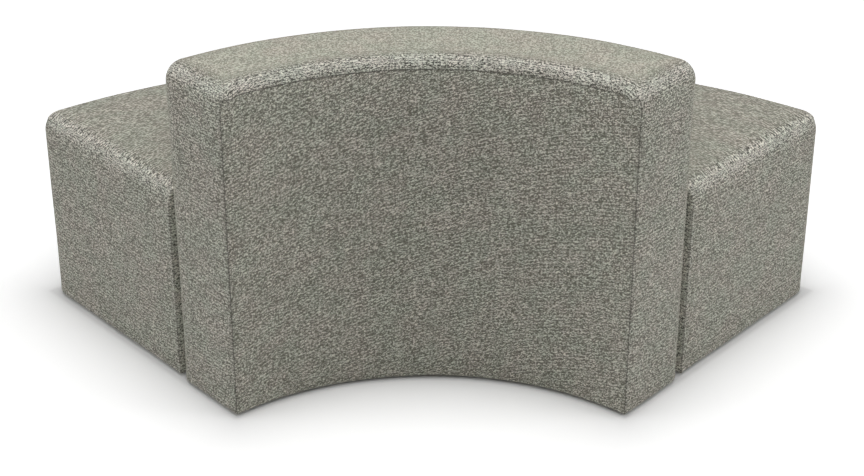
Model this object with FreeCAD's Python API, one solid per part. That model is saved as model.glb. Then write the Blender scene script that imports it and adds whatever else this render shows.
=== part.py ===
import FreeCAD, Part
import math
import os

V = FreeCAD.Vector

# Plan of the bench: rings about one arc centre, which lies behind the back
rear_radius = 615.0          # concave rear face of the back
back_thickness = 217.0
unit_gap = 0.5               # between the two covered units
seat_depth = 525.5           # covered seat block, in front of the back
half_angle = 41.65           # degrees from the middle to the seat's end plane
back_overhang = 7.0          # the back's ends stand this far past the seat's ends

# Heights above the floor
back_height = 762.0
seat_height = 472.0
glide_height = 6.0

# Rolled edges of the covered units
back_roll = 44.0             # front, top front and end edges of the back
back_rear_roll = 20.0        # top rear edge of the back
seat_roll = 46.0

# Fabric and cloth
cover_thickness = 2.0        # fabric with its lining; along the rolls wadding fills it out
dust_cloth_thickness = 0.6
hem_width = 76.0             # fabric turned under the frame
dust_cloth_margin = 15.0     # bare hem outside the dust cloth

# Plywood
plate_thickness = 18.0
rib_thickness = 15.0
deck_thickness = 15.0
skin_thickness = 5.0         # bending plywood

# Foam
back_rear_pad = 12.0
back_front_foam = 40.0
back_top_foam = 44.0
back_end_foam = 25.0
seat_topper = 30.0
seat_core = 75.0
seat_front_foam = 30.0
seat_end_foam = 25.0

# Fits
soft_gap = 0.3               # between curved faces of cloth, foam and plywood
joint_clearance = 0.2        # slots and laps in the plywood
overrun = 5.0                # how far a cutting shape runs past what it cuts

# Rib joinery
rib_shares = (-0.66, -0.33, 0.0, 0.33, 0.66)      # of half_angle
tab_width = 36.0
tab_shares = (0.24, 0.76)    # tab centres along a rib's depth

# Rib windows and deck vents
back_window_width = 64.0
back_window_height = 170.0
back_window_corner = 20.0
seat_window_width = 150.0
seat_window_height = 160.0
seat_window_corner = 40.0
seat_window_shares = (0.27, 0.73)                 # window centres along a seat rib's depth
vent_width = 44.0
vent_depth_share = 0.48

# Nail-on glides
glide_radius = 15.0
glide_inset = 58.0           # glide centre to the unit's rear or front face
back_rear_glide_shares = (-0.84, 0.84)            # of half_angle
back_front_glide_shares = (-0.42, 0.42)
seat_rear_glide_shares = (-0.84, 0.84)
seat_front_glide_shares = (-0.84, 0.0, 0.84)
pin_width = 2.8              # square steel pin moulded into the foot
pin_bite = 15.0              # pin inside the plywood
pin_clearance = 0.1

# Bars that join the back to the seat from below
bar_length = 154.0
bar_width = 32.0
bar_thickness = 3.0
bar_shares = (-0.56, 0.56)                        # of half_angle
bar_hole_offset = 62.0       # hole centre to the joint between the units
bar_hole_radius = 3.2

# Rings worked out from the sizes above, rear to front
back_front_radius = rear_radius + back_thickness
seat_rear_radius = back_front_radius + unit_gap
seat_front_radius = seat_rear_radius + seat_depth
foam_depth = cover_thickness + soft_gap           # fabric face to foam

back_pad_out = rear_radius + foam_depth + back_rear_pad
back_rear_skin_in = back_pad_out + soft_gap
back_frame_in = back_rear_skin_in + skin_thickness + soft_gap
back_foam_in = back_front_radius - foam_depth - back_front_foam
back_front_skin_out = back_foam_in - soft_gap
back_frame_out = back_front_skin_out - skin_thickness - soft_gap
back_frame_middle = (back_frame_in + back_frame_out) / 2

seat_rear_skin_in = seat_rear_radius + foam_depth
seat_frame_in = seat_rear_skin_in + skin_thickness + soft_gap
seat_foam_in = seat_front_radius - foam_depth - seat_front_foam
seat_front_skin_out = seat_foam_in - soft_gap
seat_frame_out = seat_front_skin_out - skin_thickness - soft_gap

# End planes of the frames, as distances past the radial plane at half_angle
back_frame_end = back_overhang - foam_depth - back_end_foam
seat_frame_end = -foam_depth - seat_end_foam

# Levels, floor to top
hem_low = glide_height + dust_cloth_thickness
frame_low = hem_low + cover_thickness
plate_top = frame_low + plate_thickness
back_plate_high = back_height - foam_depth - back_top_foam
back_plate_low = back_plate_high - plate_thickness
back_lap_low = (plate_top + back_plate_low - plate_thickness) / 2
back_lap_high = back_lap_low + plate_thickness
deck_high = seat_height - foam_depth - seat_topper - seat_core
deck_low = deck_high - deck_thickness
core_high = deck_high + seat_core

end_angle = math.radians(half_angle)

os.makedirs("parts", exist_ok=True)
document = FreeCAD.newDocument("Bench")


def plan_point(radius, end, side, level):
    """Where a circle about the arc centre meets the end plane of one side (-1 left, 1 right)."""
    angle = end_angle + math.asin(end / radius)
    return V(side * radius * math.sin(angle), radius * math.cos(angle), level)


def spots_on(radius, shares):
    """Plan points on a circle, at shares of half_angle."""
    angles = [math.radians(share * half_angle) for share in shares]
    return [V(radius * math.sin(angle), radius * math.cos(angle), 0) for angle in angles]


def turned(shape, share):
    """A copy turned about the arc centre, by a share of half_angle, towards the right end."""
    copy = shape.copy()
    copy.rotate(V(0, 0, 0), V(0, 0, 1), -share * half_angle)
    return copy


def sector(inner, outer, end, low, high):
    """A slice of a ring between the two end planes, with sharp edges."""
    corners = [plan_point(inner, end, -1, low), plan_point(inner, end, 1, low),
               plan_point(outer, end, 1, low), plan_point(outer, end, -1, low)]
    edges = [
        Part.Arc(corners[0], V(0, inner, low), corners[1]).toShape(),
        Part.LineSegment(corners[1], corners[2]).toShape(),
        Part.Arc(corners[2], V(0, outer, low), corners[3]).toShape(),
        Part.LineSegment(corners[3], corners[0]).toShape(),
    ]
    return Part.Face(Part.Wire(edges)).extrude(V(0, 0, high - low))


def end_slab(side, inner, outer, end, width, low, high):
    """The stretch of a ring that lies within a width of one end plane."""
    both = sector(inner, outer, end, low, high).cut(
        sector(inner - overrun, outer + overrun, end - width, low - overrun, high + overrun))
    return [solid for solid in both.Solids if solid.CenterOfMass.x * side > 0][0]


def edged_block(inner, outer, end, low, high, edge_size, rear_size, feature):
    """A sector whose front, end and top edges are all rolled or all bevelled.

    The top rear edge has a size of its own, and stays sharp if that is 0, as the rear corners do.
    """
    block = sector(inner, outer, end, low, high)
    middle = (inner + outer) / 2
    sizes = []
    for number, edge in enumerate(block.Edges, 1):
        start, stop = edge.Vertexes[0].Point, edge.Vertexes[-1].Point
        start_radius, stop_radius = math.hypot(start.x, start.y), math.hypot(stop.x, stop.y)
        upright_in_front = abs(start.z - stop.z) > edge_size and start_radius > middle
        on_top = min(start.z, stop.z) > (low + high) / 2
        at_rear = max(start_radius, stop_radius) < middle
        if upright_in_front or (on_top and not at_rear):
            sizes.append((number, edge_size, edge_size))
        elif on_top and rear_size:
            sizes.append((number, rear_size, rear_size))
    base = document.addObject("Part::Feature", "Block")
    base.Shape = block
    edged = document.addObject(feature, "Edges")
    edged.Base = base
    edged.Edges = sizes
    document.recompute()
    return edged.Shape


# The two forms of each unit: rolled outside the fabric, bevelled inside it, where the foam is sawn

def back_form(inset, low, feature):
    return edged_block(rear_radius + inset, back_front_radius - inset, back_overhang - inset,
                       low, back_height - inset, back_roll - inset, back_rear_roll - inset, feature)


def seat_form(inset, low, feature):
    return edged_block(seat_rear_radius + inset, seat_front_radius - inset, -inset,
                       low, seat_height - inset, seat_roll - inset, 0, feature)


def save(node, shape):
    """Write one piece, moved so that the bench's footprint is centred on the origin."""
    rear_corner = plan_point(rear_radius, back_overhang, 1, 0)
    solids = shape.Solids
    piece = solids[0] if len(solids) == 1 else Part.makeCompound(solids)
    piece = piece.copy()
    piece.translate(V(0, -(seat_front_radius + rear_corner.y) / 2, 0))
    piece.exportStep("parts/" + node + ".step")


# Nail-on glides: a round nylon foot moulded round a square steel pin

def square_pins(spots, width, low, high):
    pins = [Part.makeBox(width, width, high - low, V(spot.x - width / 2, spot.y - width / 2, low))
            for spot in spots]
    return Part.makeCompound(pins)


def glides(spots):
    feet = []
    for spot in spots:
        foot = Part.makeCylinder(glide_radius, glide_height, spot)
        pin = square_pins([spot], pin_width, glide_height / 2, frame_low + pin_bite)
        feet.append(foot.fuse(pin))
    return Part.makeCompound(feet)


def pierced(shape, spots):
    """Pin holes up through cloth, hem and plywood."""
    return shape.cut(square_pins(spots, pin_width + 2 * pin_clearance,
                                 glide_height - overrun, frame_low + pin_bite + pin_clearance))


back_glide_spots = (spots_on(rear_radius + glide_inset, back_rear_glide_shares)
                    + spots_on(back_front_radius - glide_inset, back_front_glide_shares))
seat_glide_spots = (spots_on(seat_rear_radius + glide_inset, seat_rear_glide_shares)
                    + spots_on(seat_front_radius - glide_inset, seat_front_glide_shares))


# Plywood joinery: ribs stand on the radius, and their tabs pass right through the plates

def board(inner, outer, thickness, low, high):
    """An upright radial board on the middle of the arc."""
    return Part.makeBox(thickness, outer - inner, high - low, V(-thickness / 2, inner, low))


def tabs(inner, outer, low, high, clearance):
    """The tabs along one edge of a rib, or with a clearance the slots that take them."""
    made = []
    for share in tab_shares:
        centre = inner + share * (outer - inner)
        made.append(board(centre - tab_width / 2 - clearance, centre + tab_width / 2 + clearance,
                          rib_thickness + 2 * clearance, low, high))
    return Part.makeCompound(made)


def slotted(plate, inner, outer, low, high):
    """A plate with the tab slots of every rib."""
    slots = tabs(inner, outer, low - overrun, high + overrun, joint_clearance)
    return plate.cut(Part.makeCompound([turned(slots, share) for share in rib_shares]))


def window(centre, level, width, height, corner):
    """An opening through a rib with its corners sawn off, as a solid to cut away."""
    block = board(centre - width / 2, centre + width / 2, rib_thickness + 2 * overrun,
                  level - height / 2, level + height / 2)
    across = [edge for edge in block.Edges if edge.BoundBox.XLength > rib_thickness]
    return block.makeChamfer(corner, across)


def vent():
    """A square breathing hole through the deck, as a solid to cut away."""
    centre = seat_frame_in + vent_depth_share * (seat_frame_out - seat_frame_in)
    return board(centre - vent_width / 2, centre + vent_width / 2, vent_width,
                 deck_low - overrun, deck_high + overrun)


def tabbed_rib(inner, outer, low, high, upper_thickness):
    """A rib between two plates, with its tabs through the lower and the upper one."""
    rib = board(inner, outer, rib_thickness, low, high)
    rib = rib.fuse(tabs(inner, outer, low - plate_thickness, low, 0))
    return rib.fuse(tabs(inner, outer, high, high + upper_thickness, 0))


# Back unit: a frame of three curved plates, five ribs, two end boards and two bent skins

def back_base_plate():
    plate = sector(back_frame_in, back_frame_out, back_frame_end, frame_low, plate_top)
    plate = slotted(plate, back_frame_in, back_frame_out, frame_low, plate_top)
    return pierced(plate, back_glide_spots)


def back_middle_plate():
    """Slotted from its front edge to half its depth, where the ribs are lapped over it."""
    plate = sector(back_frame_in, back_frame_out, back_frame_end - plate_thickness,
                   back_lap_low, back_lap_high)
    slot = board(back_frame_middle - joint_clearance, back_frame_out + overrun,
                 rib_thickness + 2 * joint_clearance, back_lap_low - overrun, back_lap_high + overrun)
    return plate.cut(Part.makeCompound([turned(slot, share) for share in rib_shares]))


def back_top_plate():
    plate = sector(back_frame_in, back_frame_out, back_frame_end, back_plate_low, back_plate_high)
    return slotted(plate, back_frame_in, back_frame_out, back_plate_low, back_plate_high)


def back_rib():
    """Full height, with a lap open to the rear for the middle plate and a window above and below it."""
    rib = tabbed_rib(back_frame_in, back_frame_out, plate_top, back_plate_low, plate_thickness)
    rib = rib.cut(board(back_frame_in - overrun, back_frame_middle + joint_clearance,
                        rib_thickness + 2 * overrun, back_lap_low - joint_clearance,
                        back_lap_high + joint_clearance))
    for level in ((plate_top + back_lap_low) / 2, (back_lap_high + back_plate_low) / 2):
        rib = rib.cut(window(back_frame_middle, level, back_window_width, back_window_height,
                             back_window_corner))
    return rib.removeSplitter()


def back_end_board(side):
    return end_slab(side, back_frame_in, back_frame_out, back_frame_end, plate_thickness,
                    plate_top, back_plate_low)


def back_skin(inner):
    return sector(inner, inner + skin_thickness, back_frame_end, frame_low, back_plate_high)


save("back_base_plate", back_base_plate())
save("back_middle_plate", back_middle_plate())
save("back_top_plate", back_top_plate())
for number, share in enumerate(rib_shares, 1):
    save("back_rib_%d" % number, turned(back_rib(), share))
save("back_end_board_left", back_end_board(-1))
save("back_end_board_right", back_end_board(1))
save("back_rear_skin", back_skin(back_rear_skin_in))
save("back_front_skin", back_skin(back_front_skin_out - skin_thickness))


# Back unit: foam on every face, all cut from the one bevelled form

back_foam_form = back_form(foam_depth, frame_low, "Part::Chamfer")


def back_side_foam(inner, outer):
    """A curved slab of foam on the rear or front skin, below the top foam."""
    return back_foam_form.common(
        sector(inner, outer, back_frame_end, frame_low, back_plate_high))


def back_end_foam_pad(side):
    return back_foam_form.common(
        end_slab(side, rear_radius, back_front_radius, back_overhang, back_overhang - back_frame_end,
                 frame_low, back_plate_high))


def back_top_foam_cap():
    return back_foam_form.common(
        sector(rear_radius, back_front_radius, back_overhang, back_plate_high, back_height))


save("back_foam_rear", back_side_foam(rear_radius, back_pad_out))
save("back_foam_front", back_side_foam(back_foam_in, back_front_radius))
save("back_foam_end_left", back_end_foam_pad(-1))
save("back_foam_end_right", back_end_foam_pad(1))
save("back_foam_top", back_top_foam_cap())


# Fitted covers: a shell between the rolled and the bevelled form, turned under the frame as a hem

def fabric_shell(outside, inside, rear, front, end, spots):
    opening = sector(rear + hem_width, front - hem_width, end - hem_width,
                     hem_low - overrun, frame_low + overrun)
    return pierced(outside.cut(inside).cut(opening), spots)


def panel_zone(inner, outer, end, seam, hem_inner, hem_outer):
    """What one upright panel takes from a shell: its face up to the seam, and its hem."""
    return sector(inner, outer, end, hem_low, seam).fuse(
        sector(hem_inner, hem_outer, end, hem_low, frame_low))


def back_cover_panels():
    """Rear panel up to the foot of the top roll, front panel within the rolls, and the wrap."""
    shell = fabric_shell(back_form(0, hem_low, "Part::Fillet"),
                         back_form(cover_thickness, frame_low, "Part::Chamfer"),
                         rear_radius, back_front_radius, back_overhang, back_glide_spots)
    rear = panel_zone(rear_radius, rear_radius + cover_thickness, back_overhang - cover_thickness,
                      back_height - back_rear_roll, rear_radius, rear_radius + hem_width)
    front = panel_zone(back_front_radius - cover_thickness, back_front_radius,
                       back_overhang - back_roll, back_height - back_roll,
                       back_front_radius - hem_width, back_front_radius)
    return shell.common(rear), shell.common(front), shell.cut(rear).cut(front)


def dust_cloth(inner, outer, end, spots):
    """Thin black cloth over the underside, its edge stapled onto the hem."""
    cloth = sector(inner + dust_cloth_margin, outer - dust_cloth_margin, end - dust_cloth_margin,
                   glide_height, hem_low)
    return pierced(cloth, spots)


rear_panel, front_panel, wrap = back_cover_panels()
save("back_cover_rear", rear_panel)
save("back_cover_front", front_panel)
save("back_cover_wrap", wrap)
save("back_dust_cloth", dust_cloth(rear_radius, back_front_radius, back_overhang, back_glide_spots))
save("back_glides", glides(back_glide_spots))


# Seat unit: a base plate and a vented deck on radial ribs, closed by end boards and bent skins

def seat_base_plate():
    plate = sector(seat_frame_in, seat_frame_out, seat_frame_end, frame_low, plate_top)
    plate = slotted(plate, seat_frame_in, seat_frame_out, frame_low, plate_top)
    return pierced(plate, seat_glide_spots)


def seat_deck():
    """The board under the seat foam, with a vent in every bay so that the foam can breathe."""
    deck = sector(seat_frame_in, seat_frame_out, seat_frame_end, deck_low, deck_high)
    deck = slotted(deck, seat_frame_in, seat_frame_out, deck_low, deck_high)
    bay_edges = (-1.0,) + rib_shares + (1.0,)
    bay_shares = [(left + right) / 2 for left, right in zip(bay_edges, bay_edges[1:])]
    return deck.cut(Part.makeCompound([turned(vent(), share) for share in bay_shares]))


def seat_rib():
    """A rib under the deck, with two windows side by side."""
    rib = tabbed_rib(seat_frame_in, seat_frame_out, plate_top, deck_low, deck_thickness)
    for share in seat_window_shares:
        rib = rib.cut(window(seat_frame_in + share * (seat_frame_out - seat_frame_in),
                             (plate_top + deck_low) / 2, seat_window_width, seat_window_height,
                             seat_window_corner))
    return rib.removeSplitter()


def seat_end_board(side):
    return end_slab(side, seat_frame_in, seat_frame_out, seat_frame_end, plate_thickness,
                    plate_top, deck_low)


def seat_skin(inner):
    return sector(inner, inner + skin_thickness, seat_frame_end, frame_low, deck_high)


save("seat_base_plate", seat_base_plate())
save("seat_deck", seat_deck())
for number, share in enumerate(rib_shares, 1):
    save("seat_rib_%d" % number, turned(seat_rib(), share))
save("seat_end_board_left", seat_end_board(-1))
save("seat_end_board_right", seat_end_board(1))
save("seat_rear_skin", seat_skin(seat_rear_skin_in))
save("seat_front_skin", seat_skin(seat_front_skin_out - skin_thickness))


# Seat unit: a firm core and a softer topper over everything, with foam down the front and the ends

seat_foam_form = seat_form(foam_depth, frame_low, "Part::Chamfer")


def seat_foam_layer(low, high):
    return seat_foam_form.common(sector(seat_rear_radius, seat_front_radius, 0, low, high))


def seat_front_foam_slab():
    return seat_foam_form.common(
        sector(seat_foam_in, seat_front_radius, seat_frame_end, frame_low, deck_high))


def seat_end_foam_pad(side):
    return seat_foam_form.common(
        end_slab(side, seat_rear_radius, seat_front_radius, 0, -seat_frame_end, frame_low, deck_high))


save("seat_foam_core", seat_foam_layer(deck_high, core_high))
save("seat_foam_topper", seat_foam_layer(core_high, seat_height))
save("seat_foam_front", seat_front_foam_slab())
save("seat_foam_end_left", seat_end_foam_pad(-1))
save("seat_foam_end_right", seat_end_foam_pad(1))


# Seat unit: a top panel seamed along the middle of the rolls, a boxing strip and a rear strip

def seat_cover_panels():
    shell = fabric_shell(seat_form(0, hem_low, "Part::Fillet"),
                         seat_form(cover_thickness, frame_low, "Part::Chamfer"),
                         seat_rear_radius, seat_front_radius, 0, seat_glide_spots)
    seam = seat_height - seat_roll * (1 - math.sin(math.radians(45)))
    rear = panel_zone(seat_rear_radius, seat_rear_radius + cover_thickness, -cover_thickness,
                      seam, seat_rear_radius, seat_rear_radius + hem_width)
    above = sector(seat_rear_radius, seat_front_radius, 0, seam, seat_height)
    return shell.common(above), shell.cut(above).cut(rear), shell.common(rear)


top_panel, boxing, rear_strip = seat_cover_panels()
save("seat_cover_top", top_panel)
save("seat_cover_boxing", boxing)
save("seat_cover_rear", rear_strip)
save("seat_dust_cloth", dust_cloth(seat_rear_radius, seat_front_radius, 0, seat_glide_spots))
save("seat_glides", glides(seat_glide_spots))


# Joint between the units: flat steel bars across it, against the dust cloths, screwed from below

def joining_bars():
    joint = back_front_radius + unit_gap / 2
    low = glide_height - bar_thickness
    bar = board(joint - bar_length / 2, joint + bar_length / 2, bar_width, low, glide_height)
    for side in (-1, 1):
        bar = bar.cut(Part.makeCylinder(bar_hole_radius, bar_thickness,
                                        V(0, joint + side * bar_hole_offset, low)))
    return Part.makeCompound([turned(bar, share) for share in bar_shares])


save("joining_bars", joining_bars())
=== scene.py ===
import math

import bmesh
import bpy
import numpy as np
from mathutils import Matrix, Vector, noise
from mathutils.bvhtree import BVHTree
from mathutils.interpolate import poly_3d_calc


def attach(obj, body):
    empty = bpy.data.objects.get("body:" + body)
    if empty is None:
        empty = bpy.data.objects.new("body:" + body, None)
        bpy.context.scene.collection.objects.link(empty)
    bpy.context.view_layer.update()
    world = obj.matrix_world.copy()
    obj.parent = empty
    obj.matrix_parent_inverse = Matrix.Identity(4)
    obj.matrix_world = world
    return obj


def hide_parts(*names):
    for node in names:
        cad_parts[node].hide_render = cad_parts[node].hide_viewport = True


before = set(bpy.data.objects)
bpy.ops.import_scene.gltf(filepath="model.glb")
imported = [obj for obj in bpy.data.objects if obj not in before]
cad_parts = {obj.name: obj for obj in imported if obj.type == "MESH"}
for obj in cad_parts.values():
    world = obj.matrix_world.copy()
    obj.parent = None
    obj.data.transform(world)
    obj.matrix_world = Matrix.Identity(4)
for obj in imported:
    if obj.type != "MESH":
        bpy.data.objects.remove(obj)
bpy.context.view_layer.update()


# Plywood frames
# The two carcasses inside the bench are birch plywood cut on a router: curved plates, radial ribs
# tabbed through them, end boards, and 5 mm bending plywood glued round the front and the rear.

ARC_CENTRE_Y = -0.90643                       # the bench's rings run round this line, behind the back
RIB_TURNS = (-0.66, -0.33, 0.0, 0.33, 0.66)   # of the half angle, left to right
HALF_ANGLE = math.radians(41.65)
TWO_PLIES = 0.0028           # one light and one dark veneer


def new_material(name):
    """A material with its shader, its node tree and a way to add nodes to it."""
    material = bpy.data.materials.new(name)
    material.use_nodes = True
    tree = material.node_tree
    return material, tree, tree.nodes["Principled BSDF"]


def node(tree, kind, settings=None, **inputs):
    """Adds one node, sets its settings and links or fills its inputs by socket name."""
    made = tree.nodes.new(kind)
    for key, value in (settings or {}).items():
        setattr(made, key, value)
    for key, value in inputs.items():
        wanted = key.replace("_", " ").lower()
        fill(tree, next(s for s in made.inputs if s.name.lower() == wanted and s.enabled), value)
    return made


def fill(tree, socket, value):
    """Links a socket to another node's output, or sets its value."""
    if isinstance(value, bpy.types.NodeSocket):
        tree.links.new(value, socket)
    else:
        socket.default_value = value


def arithmetic(tree, operation, *values):
    """A sum on numbers and other nodes' outputs, as an output."""
    made = tree.nodes.new("ShaderNodeMath")
    made.operation = operation
    for socket, value in zip(made.inputs, values):
        fill(tree, socket, value)
    return made.outputs[0]


def mixed(tree, share, first, second, blend="MIX"):
    """Two colours mixed, as an output."""
    made = tree.nodes.new("ShaderNodeMix")
    made.data_type = "RGBA"
    made.blend_type = blend
    for place, value in ((0, share), (6, first), (7, second)):
        fill(tree, made.inputs[place], value)
    return made.outputs[2]


def raised_by(tree, shader, height, strength, distance):
    """Gives a shader its fine relief."""
    bump = node(tree, "ShaderNodeBump", Height=height, Strength=strength, Distance=distance)
    tree.links.new(bump.outputs[0], shader.inputs["Normal"])


def ramp(tree, factor, stops):
    """A colour ramp from a list of (place, colour)."""
    made = tree.nodes.new("ShaderNodeValToRGB")
    tree.links.new(factor, made.inputs["Fac"])
    elements = made.color_ramp.elements
    while len(elements) < len(stops):
        elements.new(0.5)
    for element, (place, colour) in zip(elements, stops):
        element.position = place
        element.color = (*colour, 1.0)
    return made.outputs["Color"]


def plywood(name, plies_along, turn=0.0):
    """Birch plywood. The plies follow z, the thickness of a board turned about z, or the distance
    from the arc centre, and show as light and dark bands on the sawn edges."""
    material, tree, shader = new_material(name)
    centred = node(tree, "ShaderNodeVectorMath", {"operation": "ADD"})
    fill(tree, centred.inputs[0], node(tree, "ShaderNodeTexCoord").outputs["Object"])
    fill(tree, centred.inputs[1], (0.0, -ARC_CENTRE_Y, 0.0))
    turned = node(tree, "ShaderNodeMapping", Vector=centred.outputs[0],
                  Rotation=(0.0, 0.0, turn)).outputs["Vector"]
    parts = node(tree, "ShaderNodeSeparateXYZ", Vector=turned)
    if plies_along == "radius":
        flat = node(tree, "ShaderNodeCombineXYZ", X=parts.outputs["X"], Y=parts.outputs["Y"])
        length = node(tree, "ShaderNodeVectorMath", {"operation": "LENGTH"})
        fill(tree, length.inputs[0], flat.outputs[0])
        depth = length.outputs["Value"]
    else:
        depth = parts.outputs["Z" if plies_along == "z" else "X"]
    plies = arithmetic(tree, "SINE", arithmetic(tree, "MULTIPLY", depth, 2 * math.pi / TWO_PLIES))
    stretch = node(tree, "ShaderNodeMapping", Vector=turned,
                   Scale=(60.0, 6.0, 60.0) if plies_along != "z" else (6.0, 60.0, 60.0))
    grain = node(tree, "ShaderNodeTexNoise", Vector=stretch.outputs["Vector"],
                 Scale=1.0, Detail=6.0, Roughness=0.6, Distortion=0.6)
    blotch = node(tree, "ShaderNodeTexNoise", Vector=turned, Scale=9.0, Detail=2.0)
    tone = arithmetic(tree, "MULTIPLY_ADD", plies, 0.07, grain.outputs["Fac"])
    colour = ramp(tree, tone,
                  [(0.30, (0.50, 0.34, 0.19)), (0.50, (0.66, 0.49, 0.30)), (0.72, (0.76, 0.61, 0.41))])
    stain = ramp(tree, blotch.outputs["Fac"], [(0.3, (0.82, 0.78, 0.72)), (0.7, (1.0, 1.0, 1.0))])
    tree.links.new(mixed(tree, 0.35, colour, stain, "MULTIPLY"), shader.inputs["Base Color"])
    rough = node(tree, "ShaderNodeMapRange", Value=grain.outputs["Fac"], To_Min=0.55, To_Max=0.75)
    tree.links.new(rough.outputs[0], shader.inputs["Roughness"])
    raised_by(tree, shader, grain.outputs["Fac"], 0.25, 0.0006)
    return material


flat_plywood = plywood("birch_plywood_flat", "z")
bent_plywood = plywood("birch_plywood_bent", "radius")
rib_plywoods = [plywood("birch_plywood_rib_%d" % n, "x", share * HALF_ANGLE)
                for n, share in enumerate(RIB_TURNS, 1)]
end_plywoods = {"left": plywood("birch_plywood_end_left", "x", -HALF_ANGLE),
                "right": plywood("birch_plywood_end_right", "x", HALF_ANGLE)}


def finish_node(name, material):
    """Gives a CAD node that stays in view its material."""
    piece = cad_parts[name]
    piece.data.materials.clear()
    piece.data.materials.append(material)
    return piece


for plate in ("back_base_plate", "back_middle_plate", "back_top_plate", "seat_base_plate", "seat_deck"):
    finish_node(plate, flat_plywood)
for unit in ("back", "seat"):
    for number, material in enumerate(rib_plywoods, 1):
        finish_node("%s_rib_%d" % (unit, number), material)
    for side, material in end_plywoods.items():
        finish_node("%s_end_board_%s" % (unit, side), material)
    finish_node(unit + "_rear_skin", bent_plywood)
    finish_node(unit + "_front_skin", bent_plywood)


# Foam blocks
# Slabs of cut polyurethane foam are glued over the plywood: firm under the sitter, softer on top and
# round the back, with their long edges sawn to a bevel and their arrises rubbed off.

FOAM_ARRIS = 0.0025
FOAM_BELOW_COVER = 0.0055    # how deep the stretched cover presses the foam in
UNIT_SHAPES = {              # rear radius, front radius, distance past the radial end plane, height
    "back": (0.6150, 0.8320, 0.0070, 0.7620),
    "seat": (0.8325, 1.3580, 0.0, 0.4720)}


def foam(name, pale, dark):
    """Open-cell foam: fine pores at two sizes, and a yellowing that comes and goes."""
    material, tree, shader = new_material(name)
    place = node(tree, "ShaderNodeTexCoord").outputs["Object"]
    pores = node(tree, "ShaderNodeTexVoronoi", Vector=place, Scale=520.0, Randomness=1.0)
    coarse = node(tree, "ShaderNodeTexVoronoi", Vector=place, Scale=210.0, Randomness=1.0)
    patches = node(tree, "ShaderNodeTexNoise", Vector=place, Scale=7.0, Detail=3.0)
    depth = arithmetic(tree, "ADD", pores.outputs["Distance"], coarse.outputs["Distance"])
    pored = ramp(tree, depth, [(0.25, dark), (0.75, pale)])
    tree.links.new(mixed(tree, patches.outputs["Fac"], pored, (*pale, 1.0)), shader.inputs["Base Color"])
    shader.inputs["Roughness"].default_value = 0.95
    raised_by(tree, shader, depth, 0.5, 0.0008)
    return material


firm_foam = foam("foam_firm", (0.72, 0.70, 0.66), (0.50, 0.48, 0.45))
soft_foam = foam("foam_soft", (0.86, 0.80, 0.62), (0.66, 0.59, 0.42))


def pressed_in(place, rear, front, end, top):
    """Keeps a point of the foam clear of the cover's outer face on every side that the cover has."""
    x, y = place.x, place.y - ARC_CENTRE_Y
    radius = math.hypot(x, y)
    turn = math.atan2(x, y)
    limit = HALF_ANGLE + math.asin((end - FOAM_BELOW_COVER) / radius)
    radius = min(max(radius, rear + FOAM_BELOW_COVER), front - FOAM_BELOW_COVER)
    turn = min(max(turn, -limit), limit)
    return Vector((radius * math.sin(turn), radius * math.cos(turn) + ARC_CENTRE_Y,
                   min(place.z, top - FOAM_BELOW_COVER)))


def foam_block(name, material):
    """A copy of one foam solid with its arrises rubbed off, which stands for the solid."""
    mesh = bpy.data.meshes.new(name)
    block = bmesh.new()
    block.from_mesh(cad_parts[name].data)
    bmesh.ops.remove_doubles(block, verts=block.verts, dist=1e-6)
    bmesh.ops.dissolve_limit(block, angle_limit=math.radians(0.6), verts=block.verts, edges=block.edges)
    for v in block.verts:
        v.co = pressed_in(v.co, *UNIT_SHAPES[name.split("_")[0]])
    block.to_mesh(mesh)
    block.free()
    piece = bpy.data.objects.new(name.replace("_foam_", "_foam_block_"), mesh)
    bpy.context.scene.collection.objects.link(piece)
    arris = piece.modifiers.new("Arris", "BEVEL")
    arris.width = FOAM_ARRIS
    arris.segments = 2
    arris.limit_method = "ANGLE"
    arris.angle_limit = math.radians(35)
    set_plain_mesh(piece)
    piece.data.materials.clear()
    piece.data.materials.append(material)
    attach(piece, "root")
    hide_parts(name)
    return piece


def set_plain_mesh(piece):
    """Bakes a piece's modifiers into a plain mesh and removes them."""
    evaluated = piece.evaluated_get(bpy.context.evaluated_depsgraph_get())
    made = bpy.data.meshes.new_from_object(evaluated)
    piece.modifiers.clear()
    old = piece.data
    piece.data = made
    made.name = piece.name
    if old.users == 0:
        bpy.data.meshes.remove(old)


for name in ("seat_foam_core", "back_foam_end_left", "back_foam_end_right",
             "seat_foam_end_left", "seat_foam_end_right"):
    foam_block(name, firm_foam)
for name in ("seat_foam_topper", "seat_foam_front", "back_foam_rear", "back_foam_front", "back_foam_top"):
    foam_block(name, soft_foam)


# Fabric
# One coarse boucle covers both units: short slubby loops in cream, taupe and olive grey, dyed slightly
# unevenly. Its tone is set per face as painted light: calmer on the tops, livelier on the sides and ends,
# and paler on the rolled edges as a painted highlight.

LOOPS_PER_METRE, LOOP_FLATNESS, LOOP_HEIGHT = 300.0, 1.9, 0.0016
ROW_HEIGHT, ROW_SHARE = 0.0081, 0.22
CROWN_SHARE, YARN_SHARE, FUZZ_SHARE = -0.70, 0.50, 0.2
RAMP_HALF = 0.24             # how far the fleck goes from its middle tone to its darkest and palest
OPENING_AND_HIGHLIGHT_PALER = 0.26            # how much paler the loops are painted on a rolled edge: partly their opening, partly a painted highlight
# How far the loops stand on each kind of face; the differences between faces also paint the lamps' shading.
LOOPS_ON_SIDES, LOOPS_ON_ENDS, LOOPS_ROUND_CORNERS = 0.72, 0.76, 0.50
LOT_WARM, LOT_OLIVE = (1.019, 0.995, 0.986), (0.963, 1.004, 0.972)
GROUND = (0.412, 0.396, 0.322)
LOOP_DARK, LOOP_MIDDLE, LOOP_PALE = (0.048, 0.046, 0.038), (0.312, 0.303, 0.266), (0.860, 0.840, 0.758)


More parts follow.
